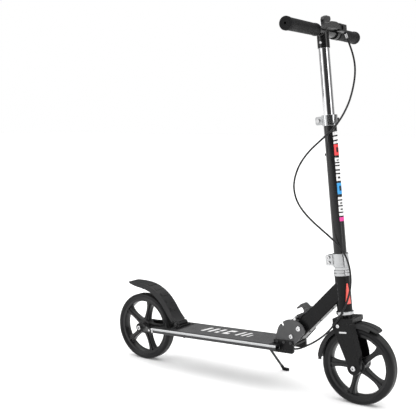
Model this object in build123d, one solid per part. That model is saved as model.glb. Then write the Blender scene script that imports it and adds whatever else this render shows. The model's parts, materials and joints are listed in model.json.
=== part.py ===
from build123d import *
import math
import os

os.makedirs("parts", exist_ok=True)

# ---------------------------------------------------------------- dimensions
# Row frame: +X forward, +Y left, +Z up, origin on the ground midway between
# the axles. Everything is in millimetres.
WHEEL_R = 100.0          # wheel radius
TYRE_HALF = 16.0         # half the tyre's width
RIM_IN = 76.0            # inner radius of the rim's ring
RIM_OUT = 84.0           # seat of the tyre on the rim
HUB_R = 21.0
WHEELBASE = 710.0
HEAD_LEAN = 5.8          # steering axis leans back, degrees
FORK_OFFSET = 28.9       # axle ahead of the steering axis
BAR_S = 869.0            # handlebar centre, along the steering axis from the axle
BAR_HALF = 190.0         # bare bar, half length
BAR_R = 12.7
DECK_TOP = 124.2         # deck's top above the ground at X = 0
DECK_PITCH = 2.13        # deck rises forward, degrees
DECK_HALF = 60.4
DECK_T = 14.0
DECK_REAR, DECK_FRONT = -232.0, 139.0
RAIL_REAR = -290.0
PIVOT = (172.5, 154.0)   # fold hinge, X and Z
NECK_ANGLE = 46.6        # neck's slope above forward, degrees
PLATE_R = 45.2           # radius of the hinge plates' top edge about the pivot
PIN_R, PIN_AT = 50.2, 79.0   # lock pin: distance from the pivot, angle above forward
SLIDE = 140.0            # travel of the telescopic tube
CABLE_R = 2.5
LEVER_PIVOT = (206.0, 226.0)
FENDER_PIVOT = (-222.0, 127.0)
ARM_PIVOT = (-226.0, 101.0)
KICK = (48.0, 40.0, 101.4)

th = math.radians(HEAD_LEAN)
A = (WHEELBASE / 2 - FORK_OFFSET * math.cos(th), 0.0, WHEEL_R - FORK_OFFSET * math.sin(th))
STEER = Plane(origin=A, x_dir=(math.cos(th), 0, math.sin(th)), z_dir=(-math.sin(th), 0, math.cos(th))).location
dp = math.radians(DECK_PITCH)
DECK = Plane(origin=(0, 0, DECK_TOP), x_dir=(math.cos(dp), 0, math.sin(dp)), z_dir=(-math.sin(dp), 0, math.cos(dp))).location
nk = math.radians(NECK_ANGLE)
NECK = Plane(origin=(PIVOT[0], 0, PIVOT[1]), x_dir=(math.cos(nk), 0, math.sin(nk)), z_dir=(-math.sin(nk), 0, math.cos(nk))).location


# ---------------------------------------------------------------- helpers
def box(x0, x1, y0, y1, z0, z1):
    return Pos((x0 + x1) / 2, (y0 + y1) / 2, (z0 + z1) / 2) * Box(x1 - x0, y1 - y0, z1 - z0)


def cyl_z(r, z0, z1, x=0.0, y=0.0):
    return Pos(x, y, (z0 + z1) / 2) * Cylinder(r, z1 - z0)


def cyl_y(r, y0, y1, x=0.0, z=0.0):
    return Pos(x, (y0 + y1) / 2, z) * Rot(90, 0, 0) * Cylinder(r, y1 - y0)


def cyl_x(r, x0, x1, y=0.0, z=0.0):
    return Pos((x0 + x1) / 2, y, z) * Rot(0, 90, 0) * Cylinder(r, x1 - x0)


def ring_z(ro, ri, z0, z1):
    return cyl_z(ro, z0, z1) - cyl_z(ri, z0 - 1, z1 + 1)


def ring_y(ro, ri, y0, y1, x=0.0, z=0.0):
    return cyl_y(ro, y0, y1, x, z) - cyl_y(ri, y0 - 1, y1 + 1, x, z)


def hex_y(r, y0, y1, x, z):
    p = [(x + r * math.cos(math.radians(60 * k)), z + r * math.sin(math.radians(60 * k))) for k in range(6)]
    return prism_y(p, y0, y1)


def prism_y(pts, y0, y1):
    f = make_face(Polyline(*[(x, y0, z) for x, z in pts], close=True))
    return extrude(f, amount=y1 - y0, dir=(0, 1, 0))


def prism_z(pts, z0, z1):
    f = make_face(Polyline(*[(x, y, z0) for x, y in pts], close=True))
    return extrude(f, amount=z1 - z0, dir=(0, 0, 1))


def rod(p, q, r):
    p, q = Vector(*p), Vector(*q)
    d = q - p
    return Plane(origin=p, z_dir=d).location * Pos(0, 0, d.length / 2) * Cylinder(r, d.length)


def mirror_y(s):
    return mirror(s, about=Plane.XZ)


def soft(shape, edges, r):
    """Rounds edges by r, or by less where r is too much."""
    for k in (1.0, 0.6, 0.35):
        try:
            out = fillet(edges, r * k)
            if out.is_valid:
                return out
        except Exception:
            pass
    return shape


def polar(c, r, deg):
    return (c[0] + r * math.cos(math.radians(deg)), c[1] + r * math.sin(math.radians(deg)))


NODES = {}


def save(name, shape):
    NODES[name] = shape
    export_step(shape, f"parts/{name}.step")


def deck_z(x):
    return DECK_TOP + x * math.tan(dp)


# ---------------------------------------------------------------- wheels
def make_tyre():
    e = [
        Line((RIM_OUT, -13), (RIM_OUT, 13)),
        Line((RIM_OUT, 13), (90, TYRE_HALF)),
        ThreePointArc((90, TYRE_HALF), (97.4, 13.9), (WHEEL_R, 9.0)),
        Line((WHEEL_R, 9.0), (WHEEL_R, -9.0)),
        ThreePointArc((WHEEL_R, -9.0), (97.4, -13.9), (90, -TYRE_HALF)),
        Line((90, -TYRE_HALF), (RIM_OUT, -13)),
    ]
    return revolve(make_face(Wire(e)), Axis.Y, 360)


def make_rim(first_deg):
    ring_face = make_face(Wire([
        Line((RIM_OUT, -12.9), (RIM_OUT, 12.9)),
        Line((RIM_OUT, 12.9), (77.5, 12.9)),
        ThreePointArc((77.5, 12.9), (75.6, 0), (77.5, -12.9)),
        Line((77.5, -12.9), (RIM_OUT, -12.9)),
    ]))
    rim = revolve(ring_face, Axis.Y, 360)
    hub = cyl_y(HUB_R, -15, 15)
    hub = chamfer(hub.edges().filter_by(GeomType.CIRCLE), 2.0)
    rim += hub
    # one spoke, flared at the hub and at the rim, with a raised rib along its middle
    up = [(14, 12.0), (24, 8.6), (38, 6.6), (54, 6.4), (66, 8.2), (78.5, 15.0)]
    top = Spline([(r, 0, w) for r, w in up])
    bot = Spline([(r, 0, -w) for r, w in up])
    f = make_face(Wire([top, Line((78.5, 0, 15.0), (78.5, 0, -15.0)), bot, Line((14, 0, -12.0), (14, 0, 12.0))]))
    spoke = Pos(0, -8.0, 0) * extrude(f, amount=16.0, dir=(0, 1, 0))
    spoke += box(14, 78, -11.0, 11.0, -2.4, 2.4)
    for k in range(5):
        rim += Rot(0, -(first_deg + 72 * k), 0) * spoke
    rim -= cyl_y(RIM_OUT + 20, 13.0, 40) + cyl_y(RIM_OUT + 20, -40, -13.0) - cyl_y(HUB_R + 1, -40, 40)
    rim -= cyl_y(11.0, 8.3, 20) + cyl_y(11.0, -20, -8.3) + cyl_y(7.0, -20, 20)
    return rim


def make_bearings():
    b = ring_y(11.0, 4.0, 8.3, 15.3)
    return b + mirror_y(b)


REAR_AXLE = Pos(-WHEELBASE / 2, 0, WHEEL_R)
FRONT_AXLE = Pos(WHEELBASE / 2, 0, WHEEL_R)
tyre = make_tyre()
save("rear_tyre", REAR_AXLE * tyre)
save("front_tyre", FRONT_AXLE * tyre)
save("rear_rim", REAR_AXLE * make_rim(4))
save("front_rim", FRONT_AXLE * make_rim(40))
save("rear_bearings", REAR_AXLE * make_bearings())
save("front_bearings", FRONT_AXLE * make_bearings())


def axle_set(face):
    """Bolt, nut and two spacer sleeves; face is the outer face of the fork or arm."""
    inner = 23.5 if face > 35 else 24.5
    bolt = cyl_y(3.95, -face, face + 1.0)
    bolt += chamfer(cyl_y(6.5, -face - 5.5, -face - 0.05).edges().group_by(Axis.Y)[0], 1.0)
    bolt -= hex_y(3.2, -face - 6, -face - 2.5, 0, 0)
    nut = hex_y(7.2, face + 0.05, face + 5.0, 0, 0) - cyl_y(3.95, face - 1, face + 1.0)
    sp = ring_y(6.5, 4.0, 15.6, inner - 0.05)
    return bolt + nut + sp + mirror_y(sp)


save("rear_axle_set", REAR_AXLE * axle_set(34.0))
save("front_axle_set", FRONT_AXLE * axle_set(36.0))

# ---------------------------------------------------------------- deck
deck = box(DECK_REAR, DECK_FRONT, -DECK_HALF, DECK_HALF, -4, 0)
for s in (1, -1):
    y0, y1 = (38.0, DECK_HALF) if s > 0 else (-DECK_HALF, -38.0)
    deck += box(RAIL_REAR, DECK_FRONT, y0, y1, -DECK_T, 0)
deck = soft(deck, deck.edges().filter_by(Axis.X).filter_by(lambda e: abs(e.center().Y) > DECK_HALF - 0.1), 2.2)
for s in (1, -1):
    a, b = (41.5, 57.0) if s > 0 else (-57.0, -41.5)
    deck -= box(RAIL_REAR - 1, DECK_FRONT + 1, a, b, -DECK_T + 3, -4)
    a, b = (59.6, 62.0) if s > 0 else (-62.0, -59.6)
    deck -= box(RAIL_REAR - 1, DECK_FRONT + 1, a, b, -6.6, -5.8)
    a, b = (11.0, 14.0) if s > 0 else (-14.0, -11.0)
    deck += box(-200, 104, a, b, -10, -3.5)
for s in (1, -1):
    for z in (-4, -10):
        deck -= cyl_y(2.2, min(s * 50, s * 65), max(s * 50, s * 65), -284, z)
deck -= box(-240, -221, -12, 12, -5, 1)
save("deck", DECK * deck)

TAPE0, TAPE1, TAPE_HALF, TAPE_T = -200.0, 116.0, 53.5, 0.9
tape = box(TAPE0, TAPE1, -TAPE_HALF, TAPE_HALF, 0, TAPE_T)
tape = fillet(tape.edges().filter_by(Axis.Z), 6)
save("grip_tape", DECK * tape)

# axle position in the deck's frame
ax_a = -WHEELBASE / 2 * math.cos(dp) + (WHEEL_R - DECK_TOP) * math.sin(dp)
ax_b = WHEELBASE / 2 * math.sin(dp) + (WHEEL_R - DECK_TOP) * math.cos(dp)
plan = prism_z([(RAIL_REAR - 0.05, 38.5), (RAIL_REAR - 0.05, 60.2), (-300, 59.5), (-338, 36.5), (-343, 34.0),
                (-372, 34.0), (-372, 24.5), (-338, 24.5), (-306, 38.5)], -40, 20)
side = prism_y([(RAIL_REAR + 1, -0.3), (RAIL_REAR + 1, -DECK_T + 0.3), (-318, -DECK_T - 0.5), (ax_a, ax_b - 13.5), (ax_a, ax_b + 13.5), (-325, 0.6)], 10, 70)
side += cyl_y(13.5, 10, 70, ax_a, ax_b)
arm = plan & side
arm -= cyl_y(4.0, 0, 80, ax_a, ax_b)
arm = soft(arm, arm.edges().filter_by(lambda e: e.center().Y > 34.1 and e.center().X < -300), 1.6)
arm -= cyl_y(3.0, 55.0, 65.0, -296, -7)
save("rear_arms", DECK * (arm + mirror_y(arm)))
scr = cyl_y(2.2, 56.0, 60.5, -284, -4) + cyl_y(2.9, 60.42, 61.9, -284, -4)
scr = scr + (Pos(0, 0, -6) * scr)
scr = scr + cyl_y(3.0, 56.0, 61.4, -296, -7)
save("rear_arm_screws", DECK * (scr + mirror_y(scr)))

# ---------------------------------------------------------------- fold hinge
base = box(118, 181, -38, 38, 0.0, 1.8)
base += box(DECK_FRONT + 0.1, 181, -38, 38, -DECK_T - 0.05, 1.8)
base += box(112, 181, -40, 40, -22.0, -DECK_T - 0.05)
base -= box(100, 200, -31, 31, -25, -DECK_T - 0.05) + box(DECK_FRONT, 200, -31, 31, -25, -3.0)
for s in (1, -1):
    y0, y1 = (34.05, 38.0) if s > 0 else (-38.0, -34.05)
    base += box(121, 180, y0, y1, 1.8, 11.5)
base = soft(base, base.edges().filter_by(Axis.Y).filter_by(lambda e: e.center().X > 180.5 and e.center().Z < -20), 5)
base = soft(base, base.edges().filter_by(Axis.X).filter_by(lambda e: abs(e.center().Y) > 37.9 and e.center().Z > 11), 2)
base = DECK * base
for x in (131.0, 152.0, 173.0):
    base -= cyl_y(2.4, -60, 60, x, deck_z(x) + 7.0)
save("hinge_base", base)


def hinge_plate(y0, y1):
    p0 = polar(PIVOT, PLATE_R, 37)
    p1 = polar(PIVOT, PLATE_R, 127)
    pm = polar(PIVOT, PLATE_R, 82)

    def P3(p):
        return (p[0], y0, p[1])
    n1, n2, p2 = (149.2, 180.2), (143.6, 178.4), polar(PIVOT, PLATE_R, 138.6)
    pr, p3, pq = polar(PIVOT, PLATE_R, 153.5), polar(PIVOT, PLATE_R, 169.5), (122.6, 142.5)
    lo1 = (121.8, deck_z(121.8) + 1.85)
    lo2 = (181.0, deck_z(181) + 1.85)
    f1, f2, f3 = (188.1, 140.4), (211.0, 166.5), (212.0, 173.0)
    e = [ThreePointArc(P3(p0), P3(pm), P3(p1)), Line(P3(p1), P3(n1)), Line(P3(n1), P3(n2)), Line(P3(n2), P3(p2)),
         ThreePointArc(P3(p2), P3(pr), P3(p3)), Line(P3(p3), P3(pq)), Line(P3(pq), P3(lo1)), Line(P3(lo1), P3(lo2)), Line(P3(lo2), P3(f1)),
         Line(P3(f1), P3(f2)), Line(P3(f2), P3(f3)), Line(P3(f3), P3(p0))]
    pl = extrude(make_face(Wire(e)), amount=y1 - y0, dir=(0, 1, 0))
    pl -= cyl_y(5.0, y0 - 1, y1 + 1, *PIVOT)
    pl -= cyl_y(4.0, y0 - 1, y1 + 1, 193.8, 178.0)
    return pl


plate = hinge_plate(29.0, 34.0)
face_edges = plate.faces().sort_by(Axis.Y)[-1].outer_wire().edges()
plate = soft(plate, face_edges, 0.9)
save("hinge_plates", plate + mirror_y(plate))

pb = cyl_y(5.0, -34.2, 34.5, *PIVOT)
hd = cyl_y(6.0, -38.4, -34.05, *PIVOT)
hd = fillet(hd.edges().group_by(Axis.Y)[0], 1.6)
pb += hd
pb -= hex_y(2.9, -39, -36, *PIVOT)
nut = hex_y(7.0, 34.05, 39.0, *PIVOT) - cyl_y(5.0, 34, 34.5, *PIVOT)
save("fold_pivot_bolt", pb + nut)

stud = cyl_y(4.0, 29.3, 34.2, 193.8, 178.0)
dome = cyl_y(7.0, 34.05, 38.2, 193.8, 178.0)
dome = fillet(dome.edges().group_by(Axis.Y)[-1], 2.6)
stud += dome
stud -= hex_y(3.0, 36.6, 40, 193.8, 178.0)
sc = None
for x in (131.0, 152.0, 173.0):
    z = deck_z(x) + 7.0
    one = cyl_y(2.4, 34.1, 38.2, x, z) + cyl_y(3.8, 38.02, 39.9, x, z)
    sc = one if sc is None else sc + one
hw = stud + sc
save("hinge_screws", hw + mirror_y(hw))

# ---------------------------------------------------------------- neck
NW, NH = 19.0, 19.8
neck = box(22, 200, -NW, NW, -NH, NH)
neck = fillet(neck.edges().filter_by(Axis.X), 4.0)
neck -= box(21, 201, -NW + 3, NW - 3, -NH + 3, NH - 3)
neck = NECK * neck
neck -= STEER * cyl_z(20.0, 100, 300)
neck -= STEER * box(0, 80, -40, 40, 60, 320)
for t in (34.0, 80.0, 133.0):
    neck -= NECK * cyl_z(1.8, -NH - 1, -NH + 4, t, 0)
save("neck_tube", neck)
kn = cyl_y(NH, -28.6, 28.6, 0, 0)
kn = chamfer(kn.edges().filter_by(GeomType.CIRCLE), 1.5)
kn += box(0, 21.9, -NW, NW, -NH, NH)
kn += box(21, 40, -NW + 3.1, NW - 3.1, -NH + 3.1, NH - 3.1)
kn -= cyl_y(5.06, -40, 40, 0, 0)
save("hinge_knuckle", NECK * kn)
ns = None
for t in (34.0, 80.0, 133.0):
    one = cyl_z(1.8, -NH - 0.2, -NH + 2.9, t, 0) + cyl_z(3.4, -NH - 2.2, -NH - 0.02, t, 0)
    ns = one if ns is None else ns + one
save("neck_screws", NECK * ns)

head = ring_z(20.0, 17.5, 140, 232)
save("head_tube", STEER * head)
lowcup = ring_z(23.0, 19.0, 131, 140) + ring_z(23.0, 15.6, 138.7, 140) + ring_z(17.5, 15.6, 139.5, 147)
lowcup = soft(lowcup, lowcup.edges().filter_by(GeomType.CIRCLE).filter_by(lambda e: e.radius > 22), 1.5)
upcup = ring_z(22.0, 19.0, 232, 240.4) + ring_z(22.0, 15.6, 232, 233.3) + ring_z(17.5, 15.6, 225, 232.5)
upcup = soft(upcup, upcup.edges().filter_by(GeomType.CIRCLE).filter_by(lambda e: e.radius > 21.5), 1.5)
save("headset_cups", STEER * (lowcup + upcup))
save("headset_bearings", STEER * (ring_z(19.0, 15.06, 131.3, 138.6) + ring_z(19.0, 15.06, 233.4, 240.2)))

# reflector: a thin curved triangle on the front right of the head tube
rf = ring_z(21.4, 20.05, 158, 214)
tri = extrude(make_face(Polyline((0, -8.2, 160), (0, 8.2, 160), (0, 1.6, 213), (0, -1.6, 213), close=True)), amount=40, dir=(1, 0, 0))
rf &= Rot(0, 0, -32) * tri
save("head_reflector", STEER * rf)

# lock lever on the neck
lp = LEVER_PIVOT
ear = prism_y([(lp[0] - 4.5, lp[1] + 3.0), (lp[0] + 3.5, lp[1] + 5.0), (lp[0] + 13.2, lp[1] - 0.2 + 9.8), (lp[0] + 9, lp[1] + 0.5), (lp[0] - 2.6, lp[1] - 8.6)], 14.6, 17.6)
ear += cyl_y(5.0, 14.6, 17.6, *lp)
ear -= NECK * box(-40, 240, -60, 60, -60, NH + 0.05)
ear -= cyl_y(2.5, 10, 20, *lp)
brk = ear + mirror_y(ear)
brk += cyl_y(2.45, -18.6, 18.6, *lp) + cyl_y(4.2, -20.0, -17.65, *lp) + cyl_y(4.2, 17.65, 20.0, *lp)
save("lever_bracket", brk)
pin_c = polar(PIVOT, PIN_R, PIN_AT)
lev_out = [(pin_c[0] - 5.5, pin_c[1] + 4.2), (pin_c[0] + 1.2, pin_c[1] - 5.2), (193.5, 209.8), (lp[0] + 1.0, lp[1] - 3.8), (lp[0] + 3.2, lp[1] + 3.0),
           (194.6, 240.4), (190.0, 240.6), (178.0, 229.8), (177.2, 226.4), (179.6, 225.6), (187.0, 231.6), (192.2, 232.2), (197.4, 225.8),
           (198.2, 220.6), (194.6, 214.8), (188.0, 210.4)]
lev = prism_y(lev_out, -13.8, 13.8)
lev += cyl_y(4.3, -13.8, 13.8, *lp)
lev += cyl_y(7.4, -13.8, 13.8, *pin_c)
lev -= NECK * box(-40, 240, -60, 60, -60, NH + 0.7)
lev -= cyl_y(4.45, -20, 20, *pin_c)
lev -= cyl_y(2.52, -20, 20, *lp)
lev = soft(lev, lev.edges().filter_by(lambda e: abs(abs(e.center().Y) - 13.8) < 0.01 and e.length > 4 and e.center().Z > 222), 1.0)
save("lock_lever", lev)
cp = cyl_y(4.4, -36.5, 36.5, *pin_c)
cp = chamfer(cp.edges().filter_by(GeomType.CIRCLE), 0.8)
save("lock_cross_pin", cp)

# ---------------------------------------------------------------- fork and steering column
crown = box(-22, 35, -36, 36, 112.3, 125)
crown = fillet(crown.edges().filter_by(Axis.Z), 5)
crown = soft(crown, crown.faces().sort_by(Axis.Z)[-1].outer_wire().edges(), 1.2)
crown -= cyl_z(15.0, 100, 140)
save("fork_crown", STEER * crown)


def leg_face(v, f5, f4, f3):
    def Q(u, s):
        return (u, v, s)
    e = [Line(Q(-22, 112.25), Q(-22, 101)), Line(Q(-22, 101), Q(12.2, 7.0)), ThreePointArc(Q(12.2, 7.0), Q(27.0, -18.0), Q(f3[0], f3[1])),
         Line(Q(f3[0], f3[1]), Q(f4[0], f4[1])), Line(Q(f4[0], f4[1]), Q(f5, 112.25)), Line(Q(f5, 112.25), Q(-22, 112.25))]
    return make_face(Wire(e))


leg = loft([leg_face(23.5, 34.8, (49.5, 34), (47.0, -1.0)), leg_face(36.0, 28.0, (43.5, 24), (45.8, -1.0))])
leg -= cyl_y(4.0, 0, 60, FORK_OFFSET, 0)
leg -= box(-4, 17, 35.0, 40, 88.0, 92.2)
leg = soft(leg, leg.faces().sort_by(Axis.Y)[-1].outer_wire().edges().filter_by(lambda e: e.length > 20), 1.5)

steerer = ring_z(15.0, 12.5, 112.3, 335)
save("steerer_tube", STEER * steerer)
race = ring_z(18.6, 15.0, 125.05, 130.4)
save("crown_race", STEER * race)
nutz = prism_z([(20.5 * math.cos(math.radians(60 * k)), 20.5 * math.sin(math.radians(60 * k))) for k in range(6)], 247.2, 254.2)
nutz &= cyl_z(19.8, 240, 260)
nutz -= cyl_z(15.0, 200, 300)
save("headset_nuts", STEER * (ring_z(21.0, 15.0, 241.0, 246.8) + nutz))

cb = cyl_y(2.6, 30.0, 36.2, 4.5, 100.5) + cyl_y(4.6, 36.05, 38.6, 4.5, 100.5)
cb -= hex_y(2.2, 37.2, 40, 4.5, 100.5)
cb = Pos(-10, 0, 6) * cb
save("crown_bolts", STEER * (cb + mirror_y(cb)))

# slots in the legs take the bolts' shanks
legs = leg - Pos(-10, 0, 6) * cyl_y(2.6, 30.0, 40, 4.5, 100.5)
save("fork_legs", STEER * (legs + mirror_y(legs)))

sclamp = ring_z(21.5, 17.0, 254.6, 290)
ears = box(-40, -17, -9.5, 9.5, 258.5, 286.5)
ears = soft(ears, ears.edges().filter_by(Axis.Y).filter_by(lambda e: e.center().X < -30), 5)
sclamp += ears
sclamp -= cyl_z(17.0, 250, 300)
sclamp -= box(-50, -10, -1.4, 1.4, 250, 300)
sclamp -= cyl_y(2.7, -30, 30, -31, 265.5) + cyl_y(2.7, -30, 30, -31, 279.5)
sclamp = soft(sclamp, sclamp.edges().filter_by(GeomType.CIRCLE).filter_by(lambda e: e.radius > 21.4), 1.2)
save("stem_clamp", STEER * sclamp)
sb = None
for z in (265.5, 279.5):
    one = cyl_y(2.6, -10.0, 12.0, -31, z) + cyl_y(4.6, -13.6, -9.55, -31, z) - hex_y(2.3, -14, -11.6, -31, z)
    n = hex_y(4.8, 9.55, 13.2, -31, z) - cyl_y(2.6, 9, 12.0, -31, z)
    sb = one + n if sb is None else sb + one + n
save("stem_clamp_bolts", STEER * sb)

BTN_S = 548.0
column = ring_z(17.0, 15.1, 254.8, 634)
column -= cyl_x(4.0, -30, -5, 0, BTN_S)
save("lower_column", STEER * column)

cc = ring_z(20.5, 17.02, 622, 636) + ring_z(20.5, 14.1, 635.5, 650)
ce = box(-37.5, -17, -8.0, 8.0, 626, 648)
ce = soft(ce, ce.edges().filter_by(Axis.Y).filter_by(lambda e: e.center().X < -30), 5)
cc += ce
cc -= cyl_z(17.02, 600, 634.1) + cyl_z(14.1, 600, 700)
cc -= box(-50, -10, -1.2, 1.2, 600, 700)
cc -= cyl_y(2.6, -30, 30, -29, 637)
cc = soft(cc, cc.edges().filter_by(GeomType.CIRCLE).filter_by(lambda e: e.radius > 20.4), 1.2)
save("column_clamp", STEER * cc)
cbolt = cyl_y(2.5, -10.0, 7.9, -29, 637) + hex_y(5.2, -12.4, -8.05, -29, 637)
save("clamp_bolt", STEER * cbolt)
lc = (-29.0, 14.4)
cam = cyl_z(6.0, 629.5, 644.5, *lc)
lev2 = prism_z([(lc[0] - 2, lc[1] + 5.6), (lc[0] + 4, lc[1] - 4.0), (-14, 22.0), (4, 24.6), (14, 22.6), (15, 26.0), (4, 29.4), (-14, 28.0)], 631.5, 642.5)
cam += lev2
cam -= cyl_z(21.2, 600, 700)
save("clamp_lever", STEER * cam)

btn = cyl_x(3.93, -21.0, -14.8, 0, BTN_S)
btn = fillet(btn.edges().sort_by(lambda e: e.center().X)[0:1], 2.0)
save("height_button", STEER * btn)

# ---------------------------------------------------------------- handlebar
ut = ring_z(14.0, 12.0, 515, 855.8)
ut -= cyl_x(4.4, -30, 0, 0, BTN_S) + cyl_x(4.4, -30, 0, 0, BTN_S + SLIDE)
save("upper_tube", STEER * ut)
bar = cyl_y(BAR_R, -BAR_HALF, BAR_HALF, 0, BAR_S)
bar += cyl_z(16.0, 824, BAR_S - 2)
bar = soft(bar, bar.edges().filter_by(lambda e: e.center().Z > BAR_S - 14 and e.center().Z < BAR_S - 0.5 and abs(e.center().Y) < 20), 2.5)
bar -= cyl_y(BAR_R - 2.0, -BAR_HALF - 1, BAR_HALF + 1, 0, BAR_S)
bar -= cyl_z(14.0, 800, 855.9)
bar -= cyl_y(2.0, -30, -10, 0, 838)
save("handlebar", STEER * bar)
riv = cyl_y(2.0, -16.3, -14.05, 0, 838) + cyl_y(3.4, -17.9, -16.05, 0, 838)
riv = fillet(riv.edges().group_by(Axis.Y)[0], 1.0)
save("tee_rivet", STEER * riv)


def grip(y0, y1):
    """y0 is the inboard end, y1 the outboard end, both positive; the outboard end is closed but for a hole."""
    e = [Line((BAR_R, y0), (15.4, y0)), Line((15.4, y0), (16.6, y0 + 1.6)), Line((16.6, y0 + 1.6), (16.6, y0 + 8)), Line((16.6, y0 + 8), (15.7, y0 + 9)),
         Line((15.7, y0 + 9), (16.2, y1 - 10)), Line((16.2, y1 - 10), (17.6, y1 - 8.5)), Line((17.6, y1 - 8.5), (17.6, y1 - 2.0)), Line((17.6, y1 - 2.0), (15.8, y1)),
         Line((15.8, y1), (3.4, y1)), Line((3.4, y1), (3.4, y1 - 3.0)), Line((3.4, y1 - 3.0), (9.0, y1 - 3.0)), Line((9.0, y1 - 3.0), (9.0, BAR_HALF + 0.05)),
         Line((9.0, BAR_HALF + 0.05), (BAR_R, BAR_HALF + 0.05)), Line((BAR_R, BAR_HALF + 0.05), (BAR_R, y0))]
    return Pos(0, 0, BAR_S) * revolve(make_face(Wire(e)), Axis.Y, 360)


save("grips", STEER * (grip(80.0, 196.0) + mirror_y(grip(38.0, 196.0))))

# brake lever: perch on the bar, blade on a vertical pivot
B = BAR_S
LP_U, LP_V = 34.0, 30.0
perch = ring_y(16.6, BAR_R, 60.0, 72.0, 0, B)
perch += box(12.0, 36.0, 58.0, 70.0, B - 3.0, B + 13.0) - cyl_y(16.0, 40, 80, 0, B)
perch += box(26.5, 40.0, 42.0, 64.0, B - 3.0, B + 16.2)
perch += box(27.0, 40.0, LP_V, 44.0, B - 3.0, B + 0.8) + box(27.0, 40.0, LP_V, 44.0, B + 12.6, B + 16.2)
perch += cyl_z(6.8, B - 3.0, B + 0.8, LP_U, LP_V) + cyl_z(6.8, B + 12.6, B + 16.2, LP_U, LP_V)
perch += cyl_z(2.6, B, B + 13, LP_U, LP_V) + cyl_z(4.0, B + 16.2, B + 17.6, LP_U, LP_V)
perch = soft(perch, perch.edges().filter_by(Axis.Z).filter_by(lambda e: e.center().X > 39.5), 2.0)
BAR_EXIT = (30.0, 65.5, B + 6.0)
BAR_DIR = (0.29, 0.10, -0.95)
bl = math.sqrt(sum(c * c for c in BAR_DIR))
bd = tuple(c / bl for c in BAR_DIR)


def along(p, d, t):
    return tuple(a + b * t for a, b in zip(p, d))


adj = rod(along(BAR_EXIT, bd, -8), along(BAR_EXIT, bd, 6.5), 5.2) + rod(along(BAR_EXIT, bd, 6), along(BAR_EXIT, bd, 12.0), 3.9)
perch += adj
perch -= cyl_y(BAR_R, 40, 90, 0, B)
save("brake_perch", STEER * perch)



def VS(pts, u):
    """Outline given as (left, above the bar's centre), at a distance u ahead of the steering axis."""
    return [(u, v, B + k) for v, k in pts]


def bar_slab(pts, u0, u1):
    f = make_face(Polyline(*VS(pts, u0), close=True))
    return extrude(f, amount=u1 - u0, dir=(1, 0, 0))


blade = bar_slab([(30.0, 1.2), (30.0, 12.2), (21.8, 12.2), (19.8, 16.6), (6.0, 18.8), (-20.0, 17.6), (-34.0, 15.2), (-62.0, 13.0), (-66.0, 9.0), (-64.0, 2.5), (-56.0, -2.6), (-40.0, -2.0), (-10.0, 1.0)], 29.5, 38.5)
blade = soft(blade, blade.edges().filter_by(lambda e: e.length > 5.5), 2.6)
knob = bar_slab([(-33.0, 14.0), (-29.0, 21.0), (-31.0, 28.5), (-50.0, 29.0), (-64.0, 24.5), (-68.0, 17.0), (-66.0, 9.0), (-46.0, 8.0)], 29.0, 41.0)
knob = soft(knob, knob.edges().filter_by(lambda e: e.length > 5.5), 3.0)
blade += knob
blade += cyl_z(5.6, B + 1.2, B + 12.2, LP_U, LP_V)
blade -= cyl_z(2.65, B - 10, B + 40, LP_U, LP_V)
save("brake_lever", STEER * blade)

# ---------------------------------------------------------------- front fender
def arc_band(c, r0, r1, d0, d1, y0, y1):
    def Q(p):
        return (p[0], y0, p[1])
    dm = (d0 + d1) / 2
    e = [ThreePointArc(Q(polar(c, r1, d0)), Q(polar(c, r1, dm)), Q(polar(c, r1, d1))), Line(Q(polar(c, r1, d1)), Q(polar(c, r0, d1))),
         ThreePointArc(Q(polar(c, r0, d1)), Q(polar(c, r0, dm)), Q(polar(c, r0, d0))), Line(Q(polar(c, r0, d0)), Q(polar(c, r1, d0)))]
    return extrude(make_face(Wire(e)), amount=y1 - y0, dir=(0, 1, 0))


FC = (FORK_OFFSET, 0.0)
ff = arc_band(FC, 107.6, 110.4, 53.2, 172.0, -22.0, 22.0)
ff = soft(ff, ff.edges().filter_by(lambda e: e.length < 3.2), 13.0)
for s in (1, -1):
    y0, y1 = (19.2, 22.0) if s > 0 else (-22.0, -19.2)
    ff += arc_band(FC, 99.5, 108.0, 64.0, 172.5, y0, y1)
ff += arc_band(FC, 110.0, 111.4, 56.0, 169.0, -4.0, 4.0)
pad = box(-14, 22, -15, 15, 100, 112.25) - cyl_y(107.8, -30, 30, *FC)
ff += pad
ff -= box(-20, 40, -30, 30, 112.25, 130)
save("front_fender", STEER * ff)

# ---------------------------------------------------------------- rear fender
inner = [(-228.0, 131.0), (-243.0, 146.0), (-263.0, 174.0), (-291.0, 203.0), (-331.0, 224.0), (-372.0, 231.0), (-407.0, 232.0)]
outer = [(-219.5, 133.5), (-238.5, 151.0), (-259.5, 179.0), (-288.5, 207.5), (-330.0, 228.5), (-372.5, 234.6), (-407.5, 234.2)]
skirt = [(-232.0, 124.0), (-249.0, 139.0), (-270.5, 167.0), (-298.0, 194.5), (-335.0, 214.0), (-373.0, 221.0), (-404.0, 228.5)]


def fender_band(lo, hi, y0, y1):
    L3 = [(x, y0, z) for x, z in lo]
    H3 = [(x, y0, z) for x, z in hi]
    e = [Spline(L3), Line(L3[-1], H3[-1]), Spline(H3), Line(H3[0], L3[0])]
    return extrude(make_face(Wire(e)), amount=y1 - y0, dir=(0, 1, 0))


rf1 = fender_band(inner, outer, -23.0, 23.0)
for s in (1, -1):
    y0, y1 = (20.4, 23.0) if s > 0 else (-23.0, -20.4)
    rf1 += fender_band(skirt, outer, y0, y1)
rf1 -= box(-236, -210, 19.5, 30, 100, 137.5) + box(-236, -210, -30, -19.5, 100, 137.5)
rf1 += cyl_y(6.2, -19.2, 19.2, *FENDER_PIVOT)
rf1 += prism_y([(-227.5, 129.0), (-221.0, 133.0), (-219.0, 134.6), (-228.8, 136.0)], -19.2, 19.2)
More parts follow.
